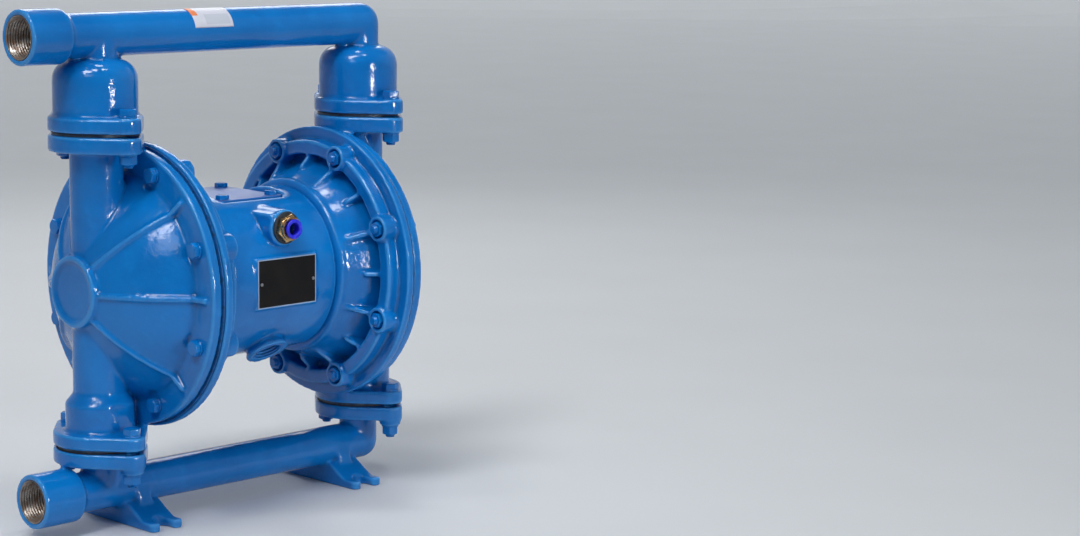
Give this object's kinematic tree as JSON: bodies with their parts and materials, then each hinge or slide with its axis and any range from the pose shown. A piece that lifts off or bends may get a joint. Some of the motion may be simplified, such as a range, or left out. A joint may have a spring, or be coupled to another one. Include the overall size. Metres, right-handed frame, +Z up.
{
  "type": "air operated diaphragm pump",
  "caption": "Double diaphragm pump driven by compressed air: ribbed round chambers either side of a centre body, ball-checked manifolds above and below, slotted feet.",
  "frame": {"origin": "centre of the pump's bounding box in plan, on the floor the feet stand on", "axes": "+X along the diaphragm shaft, away from the port faces, +Z up along the discharge side, -Y the side with the nameplate and the air inlet"},
  "size_m": [0.6309, 0.382, 0.6897],
  "materials": {
    "enamel": "glossy blue enamel over the casting's grain",
    "zinc": "bright zinc",
    "steel": "turned and ground",
    "brass": "bright turned",
    "aluminium": "ground",
    "rubber": "moulded black",
    "gasket": "cut sheet",
    "bush": "turned plastic",
    "collar": "moulded blue",
    "plate": "black satin sheet"
  },
  "bodies": {
    "pump": {"discharge_manifold": "enamel", "suction_manifold": "enamel", "centre_body": "enamel", "valve_cover": "enamel", "valve_cover_gasket": "gasket", "valve_cover_bolts": "enamel", "nameplate": "plate", "nameplate_rivets": "zinc", "air_inlet_fitting": "brass", "air_valve_sleeve": "aluminium", "discharge_flange_bolts": "enamel", "discharge_flange_washers": "enamel", "discharge_flange_nuts": "enamel", "suction_flange_bolts": "enamel", "suction_flange_washers": "enamel", "suction_flange_nuts": "enamel", "discharge_seat_gaskets": "gasket", "suction_seat_gaskets": "gasket", "fluid_chamber_left": "enamel", "air_chamber_left": "enamel", "body_gasket_left": "gasket", "chamber_screws_left": "steel", "shaft_bush_left": "bush", "rim_bolts_left": "enamel", "rim_washers_left": "enamel", "rim_nuts_left": "enamel", "suction_seat_left": "steel", "discharge_seat_left": "steel", "fluid_chamber_right": "enamel", "air_chamber_right": "enamel", "body_gasket_right": "gasket", "chamber_screws_right": "steel", "shaft_bush_right": "bush", "rim_bolts_right": "enamel", "rim_washers_right": "enamel", "rim_nuts_right": "enamel", "suction_seat_right": "steel", "discharge_seat_right": "steel"},
    "shaft_set": {"diaphragm_shaft": "steel", "inner_plate_left": "steel", "outer_plate_left": "steel", "plate_nut_left": "steel", "diaphragm_left": "rubber", "inner_plate_right": "steel", "outer_plate_right": "steel", "plate_nut_right": "steel", "diaphragm_right": "rubber"},
    "spool": {"air_valve_spool": "aluminium"},
    "pilot": {"pilot_rod": "steel"},
    "suction_ball_l": {"suction_ball_left": "rubber"},
    "suction_ball_r": {"suction_ball_right": "rubber"},
    "discharge_ball_l": {"discharge_ball_left": "rubber"},
    "discharge_ball_r": {"discharge_ball_right": "rubber"},
    "release_ring": {"tube_release_ring": "collar"}
  },
  "joints": [
    {"name": "shaft_stroke", "type": "slide", "parent": "pump", "child": "shaft_set", "axis": [1, 0, 0], "range_m": [-0.012, 0.012], "deforming": ["diaphragm_left", "diaphragm_right"]},
    {"name": "spool_shift", "type": "slide", "parent": "pump", "child": "spool", "axis": [1, 0, 0], "range_m": [-0.008, 0.008]},
    {"name": "pilot_shift", "type": "slide", "parent": "pump", "child": "pilot", "axis": [1, 0, 0], "range_m": [-0.005, 0.005]},
    {"name": "suction_ball_left_lift", "type": "slide", "parent": "pump", "child": "suction_ball_l", "axis": [0, 0, 1], "range_m": [0, 0.016]},
    {"name": "suction_ball_right_lift", "type": "slide", "parent": "pump", "child": "suction_ball_r", "axis": [0, 0, 1], "range_m": [0, 0.016]},
    {"name": "discharge_ball_left_lift", "type": "slide", "parent": "pump", "child": "discharge_ball_l", "axis": [0, 0, 1], "range_m": [0, 0.016]},
    {"name": "discharge_ball_right_lift", "type": "slide", "parent": "pump", "child": "discharge_ball_r", "axis": [0, 0, 1], "range_m": [0, 0.016]},
    {"name": "release_press", "type": "slide", "parent": "pump", "child": "release_ring", "axis": [0, 1, 0], "range_m": [0, 0.0015], "stiffness_N_per_m": 2000, "springref_m": -0.0005}
  ]
}
